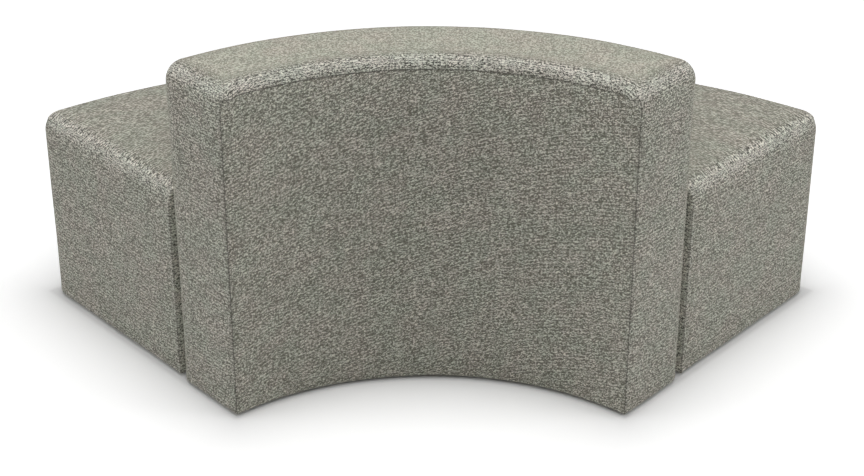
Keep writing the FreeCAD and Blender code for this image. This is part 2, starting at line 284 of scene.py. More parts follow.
def boucle(name):
    """The cloth's lay, the standing of its loops with the painted light set on it, and the painted shade
    of its seams come from each panel's own attributes. The lay's third axis runs across the rows of loops."""
    material, tree, shader = new_material(name)
    lay = node(tree, "ShaderNodeAttribute", {"attribute_name": "lay"}).outputs["Vector"]
    relief = node(tree, "ShaderNodeAttribute", {"attribute_name": "relief"}).outputs["Fac"]
    groove = node(tree, "ShaderNodeAttribute", {"attribute_name": "groove"}).outputs["Fac"]
    flattened = node(tree, "ShaderNodeMapping", Vector=lay,
                     Scale=(1.0, 1.0, LOOP_FLATNESS)).outputs["Vector"]
    loops = node(tree, "ShaderNodeTexVoronoi", Vector=flattened, Scale=LOOPS_PER_METRE, Randomness=0.9)
    slubs = node(tree, "ShaderNodeTexNoise", Vector=flattened, Scale=LOOPS_PER_METRE * 0.8, Detail=1.0)
    rows = node(tree, "ShaderNodeTexWave", {"bands_direction": "Z"}, Vector=lay,
                Scale=math.pi / 10 / ROW_HEIGHT, Distortion=5.0, Detail=1.0, Detail_Scale=3.6)
    fuzz = node(tree, "ShaderNodeTexNoise", Vector=lay, Scale=1300.0, Detail=1.0)
    lots = node(tree, "ShaderNodeTexNoise", Vector=lay, Scale=15.0, Detail=3.0, Roughness=0.6)
    yarn = node(tree, "ShaderNodeSeparateColor", Color=loops.outputs["Color"])
    crown = arithmetic(tree, "MULTIPLY_ADD", loops.outputs["Distance"], CROWN_SHARE, slubs.outputs["Fac"])
    waved = arithmetic(tree, "MULTIPLY_ADD", rows.outputs["Fac"], ROW_SHARE, crown)
    fleck = arithmetic(tree, "MULTIPLY_ADD", yarn.outputs[0], YARN_SHARE, waved)
    # Loops on the rolled edges are painted paler: partly their opening, partly a painted highlight where the
    # rolls face the lamps.
    opened_and_highlit = node(tree, "ShaderNodeMapRange", Value=relief, From_Min=LOOPS_ON_ENDS, From_Max=1.3,
                  To_Min=0.0, To_Max=OPENING_AND_HIGHLIGHT_PALER)
    middle = 0.46 + ROW_SHARE / 2
    tones = [(middle - RAMP_HALF, LOOP_DARK), (middle, LOOP_MIDDLE), (middle + RAMP_HALF, LOOP_PALE)]
    loop_colour = ramp(tree, arithmetic(tree, "ADD", fleck, opened_and_highlit.outputs[0]), tones)
    cloth = mixed(tree, relief, (*GROUND, 1.0), loop_colour)
    lot = ramp(tree, lots.outputs["Fac"], [(0.38, LOT_WARM), (0.62, LOT_OLIVE)])
    dyed = mixed(tree, 1.0, cloth, lot, "MULTIPLY")
    # Painted shade: the seams are darkened towards the darkest loop colour.
    tree.links.new(mixed(tree, groove, dyed, (*LOOP_DARK, 1.0)), shader.inputs["Base Color"])
    shader.inputs["Roughness"].default_value = 0.92
    shader.inputs["Sheen Weight"].default_value = 0.08
    shader.inputs["Sheen Roughness"].default_value = 0.6
    shader.inputs["Specular IOR Level"].default_value = 0.15
    height = arithmetic(tree, "MULTIPLY_ADD", fuzz.outputs["Fac"], FUZZ_SHARE, waved)
    raised_by(tree, shader, height, 0.8, LOOP_HEIGHT)
    return material


bench_fabric = boucle("boucle_greige")


# Back cover
# Three panels are sewn inside out and pulled over the foam: a rear panel for the concave side, a front
# panel for the sitter's back, and one long wrap over the top and both ends. All end in a stapled hem.

COVER_LOW = 0.0066           # the hem's underside, on the dust cloth
HEM_WIDTH, HEM_ROLL, CLOTH = 0.076, 0.005, 0.0018
EASE = 0.0004                # the cover is cut this much small
COARSE_SPACING, FINE_SPACING = 0.019, 0.0105
AIR_PRESSURE, PRESSURE_STEPS = 4.0, 20
SWELL_CAP, SINK_CAP = 0.0034, 0.0007    # the foam swells it out between the seams, and hardly gives way
SEAM_SPREAD = 0.0021
SEAM_SHADE_HALF, SEAM_SHADE_FULL = 0.0013, 0.0030    # half width of a seam's painted shade line; as deep as this it is painted black
CREASE_SHADE_HALF, CREASE_SHADE_FULL = 0.0075, 0.0110    # the same for the painted soft shade beside an upright seam
RIDGE_OUT, RIDGE_HALF, RIDGE_HIGHLIGHT_PALER = 0.0020, 0.0030, 0.0180    # the pulled-up cloth on both sides of a seam, painted paler there as a highlight
PUCKER, PUCKER_REACH, SLACK, SLACK_REACH = 0.0011, 0.014, 0.0009, 0.02
OPEN_FULL, REAR_EDGE, REAR_OPEN_FULL = 0.75, 0.036, 0.70    # where the loops open and the painted highlight lies on the rolled edges
FINE_LINES = (0.0, 0.0012, 0.0025, 0.0045, 0.0070, 0.0130, 0.0190, 0.0250, 0.0310, 0.0370)


def steps(start, stop, spacing):
    """Evenly spaced values strictly between two ends, at about a spacing."""
    count = max(1, round(abs(stop - start) / spacing))
    return [start + (stop - start) * n / count for n in range(1, count)]


def eased(value, first, last):
    """0 before the first value, 1 after the last, and smooth between."""
    share = min(1.0, max(0.0, (value - first) / (last - first)))
    return share * share * (3 - 2 * share)


def tucked(a, b, radius):
    """Rounds a sharp edge: a and b are the distances from its two faces, one of them usually 0."""
    if a >= radius or b >= radius:
        return a, b
    u, v = radius - a, radius - b
    reach = max(u, v) / math.hypot(u, v)
    return radius - u * reach, radius - v * reach


def moved_in(distance, wall, folded):
    """Carries a point's distance from one face along when the nearest face folds in."""
    if distance >= HEM_ROLL or wall >= HEM_ROLL:
        return distance
    return folded + (distance - wall) * (HEM_ROLL - folded) / (HEM_ROLL - wall)


class Unit:
    """One upholstered unit: a slice of a ring with its front, end and top edges rolled.

    Its grid lines are distances from the end planes, the rear face and the floor side. A grid point is
    first placed on the sharp block, and then rounded."""

    def __init__(self, shape, rolls, seams_near, loops_on_top, painted_light_behind):
        rear, front, end, top = shape
        self.rear, self.front, self.end, self.top = rear + EASE, front - EASE, end - EASE, top - EASE
        self.roll, self.top_rear_roll, self.side_rear_roll = rolls
        self.seams_near, self.loops_on_top, self.painted_light_behind = seams_near, loops_on_top, painted_light_behind

    def divided(self, spacing, fine):
        """Sets the grid lines: fine ones crowd round the seams and the rolls."""
        if fine:
            lines = {seam + gap for seam in self.seams_near
                     for gap in (-0.0045, -0.003, -0.0014, 0.0, 0.0014, 0.003, 0.0045)}
            lines |= {line for line in (*FINE_LINES, self.roll)
                      if all(abs(line - seam) > 0.0055 for seam in self.seams_near)}
            hem = [0.0, 0.0012, 0.0025, HEM_ROLL]
        else:
            lines = {0.0, 0.010, self.roll * 0.68, self.roll} | set(self.seams_near)
            hem = [0.0, HEM_ROLL]
        edge = sorted(lines)
        edge += steps(edge[-1], HEM_WIDTH, spacing) + [HEM_WIDTH]
        deep, high = self.front - self.rear, self.top - COVER_LOW
        arc = 2 * HALF_ANGLE * (self.rear + self.front) / 2 - 2 * HEM_WIDTH
        middle = steps(-1.0, 1.0, 2.0 * spacing / arc)
        self.columns = ([(-1, d) for d in edge] + [(0, share) for share in middle]
                        + [(1, d) for d in reversed(edge)])
        self.depth = edge + steps(HEM_WIDTH, deep - HEM_WIDTH, spacing) + [deep - d for d in reversed(edge)]
        self.rise = hem + steps(HEM_ROLL, high - HEM_WIDTH, spacing) + [high - d for d in reversed(edge)]
        return self

    def at(self, column, depth, rise):
        """Where a grid point lies, with the rolls, the rear corners and the hem's fold put in."""
        side, share = column
        inset = share if side else 1.0
        ahead = self.front - self.rear - depth
        wall = min(inset, depth, ahead)
        folded, rise = tucked(wall, rise, HEM_ROLL)
        inset, depth, ahead = (moved_in(d, wall, folded) for d in (inset, depth, ahead))
        if ahead < HEM_ROLL:
            depth = self.front - self.rear - ahead
        below = self.top - COVER_LOW - rise
        x, y, z = (max(0.0, self.roll - d) for d in (inset, ahead, below))
        reach = max(x, y, z)
        if x or z:
            bend = eased(math.atan2(z, x), 0.2, 1.3)
            soft = self.side_rear_roll + (self.top_rear_roll - self.side_rear_roll) * bend
            if soft:
                depth, gap = tucked(depth, self.roll - reach, soft)
                reach = self.roll - gap
        radius = self.rear + depth
        core = min(radius, self.front - self.roll) if y else radius
        point = self.spot(side, share, inset, radius, COVER_LOW + rise)
        if not reach:
            return point
        hub = self.spot(side, share, max(inset, self.roll), core,
                        min(COVER_LOW + rise, self.top - self.roll), point)
        away = point - hub
        return hub + away * (reach / away.length) if away.length > 1e-9 else point

    def spot(self, side, share, inset, radius, level, like=None):
        """A point of the sharp block; a mid column keeps the angle of the point it is like."""
        if side:
            angle = side * (HALF_ANGLE + math.asin((self.end - inset) / radius))
        elif like is not None:
            angle = math.atan2(like.x, like.y)
        else:
            angle = share * (HALF_ANGLE + math.asin((self.end - HEM_WIDTH) / radius))
        return Vector((radius * math.sin(angle), radius * math.cos(angle), level))


def unit_mesh(unit, seam_distance, panel_of):
    """The whole cover of a unit as one closed skin of quads. Gives its points, its faces, each face's
    panel, and for each point its distance to the nearest seam, how far the cloth's loops stand up with the
    painted light set per face, and how far down the cut panel it lies, measured over the rolled edge."""
    last = (len(unit.columns) - 1, len(unit.depth) - 1, len(unit.rise) - 1)
    points, faces, panels, seam, relief, fall, numbers = [], [], [], [], [], [], {}

    def measures(key):
        """Distances from the nearer end, the rear, the front, the top and the floor side."""
        side, share = unit.columns[key[0]]
        depth, rise = unit.depth[key[1]], unit.rise[key[2]]
        return (share if side else 1.0, depth, unit.depth[-1] - depth, unit.rise[-1] - rise, rise)

    def vertex(key):
        if key not in numbers:
            numbers[key] = len(points)
            points.append(unit.at(unit.columns[key[0]], unit.depth[key[1]], unit.rise[key[2]]))
            inset, depth, ahead, below, rise = measures(key)
            seam.append(seam_distance(inset, depth, ahead, below, rise))
            # Near the front, end and rear rolled edges the loops are painted paler: partly opening, partly
            # painted highlight.
            edge = max(eased(1.0 - max(min(inset, ahead), below) / unit.roll, 0.0, OPEN_FULL),
                       eased(1.0 - max(depth, below) / REAR_EDGE, 0.0, REAR_OPEN_FULL))
            # The loops' tone is set per face, calmer on the tops and livelier on the sides and ends: painted
            # shading standing in for the lamps.
            past_end = eased(inset, 0.0, 0.004)
            side = LOOPS_ON_SIDES + (LOOPS_ON_ENDS - LOOPS_ON_SIDES) * (1.0 - past_end)
            side += (LOOPS_ROUND_CORNERS - side) * eased(1.0 - max(inset, ahead) / unit.roll, 0.0, 0.5)
            # On the rear face near the ends the loops take the unit's value for behind; the seat's paints
            # light into the shaded gap where it meets the back.
            if depth < 1e-6:
                side += (unit.painted_light_behind - side) * (1.0 - eased(inset, 0.05, 0.12)) * past_end
            low = unit.loops_on_top + (side - unit.loops_on_top) * eased(below, 0.0, unit.roll)
            relief.append(low + (1.0 - low) * edge)
            fall.append(min(inset, depth, ahead, unit.roll) - below)
        return numbers[key]

    def side(where, start, first, second):
        """Covers one side of the block; its grid runs along two of the three directions."""
        for a in range(last[first]):
            for b in range(last[second]):
                keys = []
                for step_a, step_b in ((0, 0), (1, 0), (1, 1), (0, 1)):
                    key = list(start)
                    key[first] += a + step_a
                    key[second] += b + step_b
                    keys.append(tuple(key))
                faces.append([vertex(key) for key in keys])
                middle = [(p + q) / 2 for p, q in zip(measures(keys[0]), measures(keys[2]))]
                panels.append(panel_of(where, *middle))

    side("rear", (0, 0, 0), 0, 2)
    side("front", (0, last[1], 0), 2, 0)
    side("end", (0, 0, 0), 2, 1)
    side("end", (last[0], 0, 0), 1, 2)
    side("top", (0, 0, last[2]), 0, 1)
    side("under", (0, 0, 0), 1, 0)
    return points, faces, panels, seam, relief, fall


def foam_push(unit, seam_distance, panel_of):
    """Runs the cloth simulation on a coarse closed skin of the unit: the seams and the hem hold, and air
    pressure stands for the foam. Gives the skin and how far each of its points moved, up to the cap."""
    points, faces, _, seam, _, _ = unit_mesh(unit.divided(COARSE_SPACING, False), seam_distance, panel_of)
    mesh = bpy.data.meshes.new("coarse_skin")
    mesh.from_pydata(points, [], faces)
    mesh.update()
    flat = np.array(points)
    body = bpy.data.objects.new("coarse_skin", mesh)
    bpy.context.scene.collection.objects.link(body)
    held = body.vertex_groups.new(name="held")
    for index, gap in enumerate(seam):
        grip = 1.0 - eased(gap, 0.004, 0.030)
        if points[index].z < COVER_LOW + HEM_ROLL * 1.2:
            grip = 1.0
        if grip > 0:
            held.add([index], grip, "REPLACE")
    cloth = body.modifiers.new("Foam pressure", "CLOTH")
    settings = cloth.settings
    settings.use_pressure = True
    settings.uniform_pressure_force = AIR_PRESSURE
    settings.vertex_group_mass = "held"
    settings.effector_weights.gravity = 0.0
    cloth.collision_settings.use_collision = False
    cloth.collision_settings.use_self_collision = False
    cloth.point_cache.frame_start = 1
    cloth.point_cache.frame_end = PRESSURE_STEPS
    for step in range(1, PRESSURE_STEPS + 1):
        bpy.context.scene.frame_set(step)
    evaluated = body.evaluated_get(bpy.context.evaluated_depsgraph_get())
    shift = np.array([v.co for v in evaluated.data.vertices]) - flat
    bpy.data.objects.remove(body)
    bpy.context.scene.frame_set(1)
    normals = np.array([v.normal for v in mesh.vertices])
    size = np.maximum(np.linalg.norm(shift, axis=1, keepdims=True), 1e-9)
    out = np.sum(shift * normals, axis=1, keepdims=True) / size
    cap = SINK_CAP + (SWELL_CAP - SINK_CAP) * np.clip(out, 0.0, 1.0)
    bpy.data.meshes.remove(mesh)
    return points, faces, shift * cap * np.tanh(size / cap) / size


def cut_level(x, y, fall):
    """How the wraps, the boxing and the front are cut: the rows of loops lie level."""
    return x, y, fall


def cut_rising(x, y, fall):
    """How the rear panel is cut: the rows rise a little to the right."""
    return x, y, fall - 0.30 * x


def cut_along(x, y, fall):
    """How the seat's top panel is cut: the rows point at the ends."""
    return math.atan2(x, y) * 0.6, 0.35 * fall, math.hypot(x, y)


class Skin:
    """The fine skin of a unit, carried along by the simulated coarse one, with its seams drawn in and
    painted shade laid in them, and the cloth beside them puckered and raised."""

    def __init__(self, unit, seam_distance, panel_of, pressed, depth, welt, upright_shade):
        coarse = foam_push(unit, seam_distance, panel_of)
        points, self.faces, self.panels, seam, relief, fall = unit_mesh(
            unit.divided(FINE_SPACING, True), seam_distance, panel_of)
        self.cut = [(point.x, point.y, down) for point, down in zip(points, fall)]
        if coarse:
            bases, rings, shift = coarse
            tree = BVHTree.FromPolygons(bases, rings)
            for index, point in enumerate(points):
                near, _, ring, _ = tree.find_nearest(point)
                weights = poly_3d_calc([bases[v] for v in rings[ring]], near)
                points[index] = point + Vector(sum(w * shift[v] for w, v in zip(weights, rings[ring])))
        points = [pressed(point) + Vector((0.0, ARC_CENTRE_Y, 0.0)) for point in points]
        mesh = bpy.data.meshes.new("skin")
        mesh.from_pydata(points, [], self.faces)
        mesh.update()
        normals = np.array([v.normal for v in mesh.vertices])
        bpy.data.meshes.remove(mesh)
        gap = np.array(seam)
        valley = depth * np.exp(-(gap / SEAM_SPREAD) ** 2)
        ridge = welt * np.exp(-((gap - RIDGE_OUT) / RIDGE_HALF) ** 2)
        pucker = np.array([noise.noise(p * 60.0) for p in points]) * PUCKER * np.exp(-gap / PUCKER_REACH)
        slack = np.array([noise.noise(p * 8.0 + Vector((3.1, 0.7, 5.3))) for p in points]) * SLACK
        rise = ridge + pucker + slack * np.clip(gap / SLACK_REACH, 0.0, 1.0) - valley
        self.places = np.array(points) + normals * rise[:, None]
        self.places[:, 2] = np.maximum(self.places[:, 2], COVER_LOW)
        upright = np.clip((unit.top - unit.roll - np.array(points)[:, 2]) / 0.02, 0.0, 1.0)
        # Painted shade in the seams: a thin dark line, darker on upright seams, and a soft crease beside
        # them.
        line = np.exp(-(gap / SEAM_SHADE_HALF) ** 2) * depth / SEAM_SHADE_FULL * (1.0 + upright_shade * upright)
        painted_crease_shade = np.exp(-(gap / CREASE_SHADE_HALF) ** 2) * depth / CREASE_SHADE_FULL * upright
        self.groove = np.minimum(line + painted_crease_shade, 0.9)
        # The raised cloth beside a seam is painted paler: a painted highlight.
        self.relief = np.array(relief) + ridge / RIDGE_HIGHLIGHT_PALER

    def panel(self, name, number, replaced, lay):
        """Cuts one panel out of the skin and gives it the cloth's thickness, inward."""
        rings = [ring for ring, panel in zip(self.faces, self.panels) if panel == number]
        kept = sorted({v for ring in rings for v in ring})
        index = {v: n for n, v in enumerate(kept)}
        mesh = bpy.data.meshes.new(name)
        mesh.from_pydata([self.places[v] for v in kept], [], [[index[v] for v in ring] for ring in rings])
        for title, values in (("relief", self.relief), ("groove", self.groove)):
            mesh.attributes.new(title, "FLOAT", "POINT").data.foreach_set("value", [values[v] for v in kept])
        mesh.attributes.new("lay", "FLOAT_VECTOR", "POINT").data.foreach_set(
            "vector", [c for v in kept for c in lay(*self.cut[v])])
        mesh.materials.append(bench_fabric)
        piece = bpy.data.objects.new(name, mesh)
        bpy.context.scene.collection.objects.link(piece)
        wall = piece.modifiers.new("Cloth", "SOLIDIFY")
        wall.thickness = CLOTH
        wall.offset = -1.0
        set_plain_mesh(piece)
        piece.data.shade_smooth()
        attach(piece, "root")
        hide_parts(replaced)
        return piece

    def seam_lines(self):
        """The edges where two panels meet, above the hem, as a mesh of paths."""
        sides = {}
        for ring, panel in zip(self.faces, self.panels):
            for a, b in zip(ring, ring[1:] + ring[:1]):
                sides.setdefault((min(a, b), max(a, b)), set()).add(panel)
        edges = [edge for edge, met in sides.items() if len(met) > 1 and -1 not in met
                 and min(self.places[v][2] for v in edge) > COVER_LOW + HEM_ROLL]
        kept = sorted({v for edge in edges for v in edge})
        index = {v: n for n, v in enumerate(kept)}
        mesh = bpy.data.meshes.new("seam_lines")
        mesh.from_pydata([self.places[v] for v in kept], [(index[a], index[b]) for a, b in edges], [])
        return mesh


BACK_ROLL, BACK_REAR_ROLL = 0.0440, 0.0200
CORNER_ROLL = 0.0025         # the sewn corners, hardly rolled at all
BACK_SEAM = 0.0245           # the rear panel's top seam lies just under the rear roll


def back_seam(inset, depth, ahead, below, rise):
    """Distance to the rear panel's outline or to the front panel's outline."""
    gaps = [1.0]
    if depth < 1e-6:
        gaps.append(abs(below - BACK_SEAM))
        if below > BACK_SEAM:
            gaps.append(inset)
    elif inset < 1e-6 and below > BACK_SEAM - 0.002:
        gaps.append(depth)
    if ahead < 1e-6:
        over = max(BACK_ROLL - inset, BACK_ROLL - below)
        gaps.append(abs(over))
    return min(gaps)


def back_panel(where, inset, depth, ahead, below, rise):
    """0 rear panel, 1 front panel, 2 wrap, and -1 for what lies inside the hem."""
    if where == "under":
        nearest = min(inset, depth, ahead)
        if nearest > HEM_WIDTH:
            return -1
        if depth == nearest:
            return 0
        return 1 if ahead == nearest and inset > BACK_ROLL else 2
    if where == "rear":
        return 0 if below > BACK_SEAM else 2
    if where == "front":
        return 1 if inset > BACK_ROLL and below > BACK_ROLL else 2
    return 2


def against_seat(point):
    """The seat holds the lower part of the back's front flat."""
    limit = UNIT_SHAPES["back"][1] + 0.006 * eased(point.z, 0.445, 0.500)
    radius = math.hypot(point.x, point.y)
    share = min(1.0, limit / radius)
    return Vector((point.x * share, point.y * share, point.z))


back_unit = Unit(UNIT_SHAPES["back"], (BACK_ROLL, BACK_REAR_ROLL, CORNER_ROLL), (BACK_SEAM, BACK_ROLL),
                 loops_on_top=0.44, painted_light_behind=LOOPS_ON_SIDES)
back_skin = Skin(back_unit, back_seam, back_panel, against_seat, depth=0.0015, welt=0.0003, upright_shade=0.6)
back_skin.panel("back_rear_panel", 0, "back_cover_rear", cut_rising)
back_skin.panel("back_front_panel", 1, "back_cover_front", cut_level)
back_skin.panel("back_wrap_panel", 2, "back_cover_wrap", cut_level)


# Seat cover
# A top panel is sewn to one long boxing strip that runs round both ends and the front, with the seam
# on the middle of the roll; a separate strip closes the rear, against the back.

SEAT_ROLL = 0.0460


def seat_seam(inset, depth, ahead, below, rise):
    """Distance to the top panel's outline or to the rear strip's sides."""
    gaps = [1.0]
    if below < 1e-6:
        gaps.append(min(inset, ahead, depth))
    elif inset < 1e-6 or ahead < 1e-6 or depth < 1e-6:
        gaps.append(below)
    if depth < 1e-6:
        gaps.append(inset)
    elif inset < 1e-6:
        gaps.append(depth)
    return min(gaps)


def seat_panel(where, inset, depth, ahead, below, rise):
    """0 top panel, 1 boxing, 2 rear strip, and -1 for what lies inside the hem."""
    if where == "top":
        return 0
    if where == "under":
        nearest = min(inset, depth, ahead)
        if nearest > HEM_WIDTH:
            return -1
        return 2 if depth == nearest else 1
    return 2 if where == "rear" else 1


def against_back(point):
    """The back holds the seat's rear flat."""
    radius = math.hypot(point.x, point.y)
    share = max(1.0, UNIT_SHAPES["seat"][0] / radius)
    return Vector((point.x * share, point.y * share, point.z))


# The seat's rear strip near the ends is painted paler: painted light in the shaded gap against the back.
seat_unit = Unit(UNIT_SHAPES["seat"], (SEAT_ROLL, CORNER_ROLL, CORNER_ROLL), (),
                 loops_on_top=0.60, painted_light_behind=1.02)
seat_skin = Skin(seat_unit, seat_seam, seat_panel, against_back, depth=0.0006, welt=0.0014, upright_shade=3.0)
seat_skin.panel("seat_top_panel", 0, "seat_cover_top", cut_along)
seat_skin.panel("seat_boxing_panel", 1, "seat_cover_boxing", cut_level)
seat_skin.panel("seat_rear_panel", 2, "seat_cover_rear", cut_level)


# Seam stitches
# The panels are joined by a lock stitch in thick thread, taupe in the back and sand in the seat, which
# shows as short dashes at the bottom of each seam, where the cloth is pulled apart.

STITCH_LENGTH, STITCH_SPACING, THREAD_RADIUS = 0.0034, 0.0046, 0.00045


def node_group(name, inputs):
    """A geometry node group with a geometry going in and out, and named inputs for its sizes."""
    group = bpy.data.node_groups.new(name, "GeometryNodeTree")
    group.interface.new_socket("Geometry", in_out="INPUT", socket_type="NodeSocketGeometry")
    group.interface.new_socket("Geometry", in_out="OUTPUT", socket_type="NodeSocketGeometry")
    for title, kind, value in inputs:
        socket = group.interface.new_socket(title, in_out="INPUT", socket_type=kind)
        if value is not None:
            socket.default_value = value
    return group, group.nodes.new("NodeGroupInput"), group.nodes.new("NodeGroupOutput")


def spread(group, points, rotation, start, end):
    """The end of each tree: an item on every point, slightly turned at random, made real, with its
    material."""
    item = group.nodes.new("GeometryNodeObjectInfo")
    wobble = group.nodes.new("FunctionNodeRandomValue")
    wobble.data_type = "FLOAT_VECTOR"
    turn = group.nodes.new("FunctionNodeEulerToRotation")
    rotate = group.nodes.new("FunctionNodeRotateRotation")
    rotate.rotation_space = "LOCAL"
    place = group.nodes.new("GeometryNodeInstanceOnPoints")
    real = group.nodes.new("GeometryNodeRealizeInstances")
    finish = group.nodes.new("GeometryNodeSetMaterial")
    link = group.links.new
    link(start.outputs["Item"], item.inputs["Object"])
    link(start.outputs["Seed"], wobble.inputs["Seed"])
    link(start.outputs["Turn low"], wobble.inputs["Min"])
    link(start.outputs["Turn high"], wobble.inputs["Max"])
    link(wobble.outputs["Value"], turn.inputs["Euler"])
    if rotation:
        link(rotation, rotate.inputs["Rotation"])
    link(turn.outputs["Rotation"], rotate.inputs["Rotate By"])
    link(rotate.outputs["Rotation"], place.inputs["Rotation"])
    link(points, place.inputs["Points"])
    link(item.outputs["Geometry"], place.inputs["Instance"])
    link(place.outputs["Instances"], real.inputs["Geometry"])
    link(real.outputs["Geometry"], finish.inputs["Geometry"])
    link(start.outputs["Material"], finish.inputs["Material"])
    link(finish.outputs["Geometry"], end.inputs["Geometry"])


ITEM_INPUTS = [("Item", "NodeSocketObject", None), ("Material", "NodeSocketMaterial", None),
               ("Turn low", "NodeSocketVector", (0.0, 0.0, 0.0)),
               ("Turn high", "NodeSocketVector", (0.0, 0.0, 0.0)), ("Seed", "NodeSocketInt", 0)]

along_a_line, start, end = node_group("along_a_line", ITEM_INPUTS + [("Spacing", "NodeSocketFloat", 0.01)])
curve = along_a_line.nodes.new("GeometryNodeMeshToCurve")
marks = along_a_line.nodes.new("GeometryNodeCurveToPoints")
marks.mode = "LENGTH"
aligned = along_a_line.nodes.new("FunctionNodeAlignRotationToVector")
aligned.axis = "X"
along_a_line.links.new(start.outputs["Geometry"], curve.inputs["Mesh"])
along_a_line.links.new(curve.outputs["Curve"], marks.inputs["Curve"])
along_a_line.links.new(start.outputs["Spacing"], marks.inputs["Length"])
along_a_line.links.new(marks.outputs["Tangent"], aligned.inputs["Vector"])
spread(along_a_line, marks.outputs["Points"], aligned.outputs["Rotation"], start, end)

at_each_point, start, end = node_group("at_each_point", ITEM_INPUTS)
spread(at_each_point, start.outputs["Geometry"], None, start, end)


def repeated(name, places, item, group, material, slot, **inputs):
    """Puts an item along the lines or on the points of a mesh, as one plain mesh that rides the bench."""
    piece = bpy.data.objects.new(name, places)
    bpy.context.scene.collection.objects.link(piece)
    modifier = piece.modifiers.new(group.name, "NODES")
    modifier.node_group = group
    values = {"Item": item, "Material": material, **{k.replace("_", " "): v for k, v in inputs.items()}}
    for socket in group.interface.items_tree:
        if socket.item_type == "SOCKET" and socket.in_out == "INPUT" and socket.name in values:
            modifier[socket.identifier] = values[socket.name]
    set_plain_mesh(piece)
    bpy.data.objects.remove(item)
    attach(piece, "root")
    return piece


def turned_item(name, profile, sides, lengthwise=False):
    """An item turned from a profile of (radius, height) pairs; a zero radius closes an end."""
    points, faces, rings = [], [], []
    for radius, height in profile:
        count = sides if radius else 1
        rings.append(range(len(points), len(points) + count))
        for n in range(count):
            angle = 2 * math.pi * n / sides
            spot = (radius * math.cos(angle), radius * math.sin(angle), height)
            points.append((spot[2], spot[0], spot[1]) if lengthwise else spot)
    for low, high in zip(rings, rings[1:]):
        for n in range(sides):
            ring = [low[n % len(low)], low[(n + 1) % len(low)],
                    high[(n + 1) % len(high)], high[n % len(high)]]
            faces.append([v for k, v in enumerate(ring) if v not in ring[:k]])
    mesh = bpy.data.meshes.new(name)
    mesh.from_pydata(points, [], faces)
    mesh.shade_smooth()
    item = bpy.data.objects.new(name, mesh)
    bpy.context.scene.collection.objects.link(item)
    return item


def thread(name, pale, dark):
    """Twisted thread: the ply shows as fine slanting bands."""
    material, tree, shader = new_material(name)
    place = node(tree, "ShaderNodeTexCoord").outputs["Object"]
    twist = node(tree, "ShaderNodeTexWave", {"bands_direction": "DIAGONAL"}, Vector=place, Scale=900.0,
                 Distortion=3.0, Detail=2.0)
    tree.links.new(ramp(tree, twist.outputs["Fac"], [(0.2, dark), (0.8, pale)]), shader.inputs["Base Color"])
    shader.inputs["Roughness"].default_value = 0.7
    raised_by(tree, shader, twist.outputs["Fac"], 0.6, 0.0002)
    return material


dark_thread = thread("thread_taupe", (0.150, 0.138, 0.115), (0.070, 0.064, 0.054))
pale_thread = thread("thread_sand", (0.560, 0.535, 0.450), (0.380, 0.362, 0.300))
for unit_name, skin, colour in (("back", back_skin, dark_thread), ("seat", seat_skin, pale_thread)):
    half = STITCH_LENGTH / 2
    stitch = turned_item("stitch", [(0.0, -half), (THREAD_RADIUS * 0.8, -half * 0.8), (THREAD_RADIUS, 0.0),
                                    (THREAD_RADIUS * 0.8, half * 0.8), (0.0, half)], 6, lengthwise=True)
    repeated(unit_name + "_seam_stitches", skin.seam_lines(), stitch, along_a_line, colour,
             "bench_fabric", Spacing=STITCH_SPACING, Turn_low=(0.0, -0.08, -0.10),
             Turn_high=(0.0, 0.08, 0.10), Seed=4)


# Dust cloths
# Black spunbond polypropylene closes the underside of each unit. It is cut 15 mm short of the cover all
# round and held to the base plate, through the hem, by a row of flat-crown staples.

DUST_CLOTH_IN, DUST_CLOTH_THICKNESS, DUST_CLOTH_MIDDLE = 0.015, 0.0005, 0.00630
STAPLE_CROWN, STAPLE_WIRE, STAPLE_HALF_WIDTH = 0.0095, 0.0006, 0.0006
STAPLE_LEG, STAPLE_SPACING = 0.008, 0.044
BAR_TURNS, BAR_HALF_WIDTH = (-0.56, 0.56), 0.016


def spunbond(name):
    """Bonded fibres pressed with a fine grid of dots."""
    material, tree, shader = new_material(name)
    place = node(tree, "ShaderNodeTexCoord").outputs["Object"]
    fibres = node(tree, "ShaderNodeTexNoise", Vector=place, Scale=420.0, Detail=5.0, Roughness=0.7,
                  Distortion=2.5)
    clouds = node(tree, "ShaderNodeTexNoise", Vector=place, Scale=30.0, Detail=3.0)
    dots = node(tree, "ShaderNodeTexVoronoi", Vector=place, Scale=620.0, Randomness=0.12)
    tone = arithmetic(tree, "MULTIPLY_ADD", fibres.outputs["Fac"], 0.6, clouds.outputs["Fac"])
    black = ramp(tree, tone, [(0.45, (0.010, 0.010, 0.011)), (1.0, (0.042, 0.042, 0.044))])
    tree.links.new(black, shader.inputs["Base Color"])
    shader.inputs["Roughness"].default_value = 0.8
    pressed = arithmetic(tree, "ADD", dots.outputs["Distance"], fibres.outputs["Fac"])
    raised_by(tree, shader, pressed, 0.6, 0.0004)
    return material


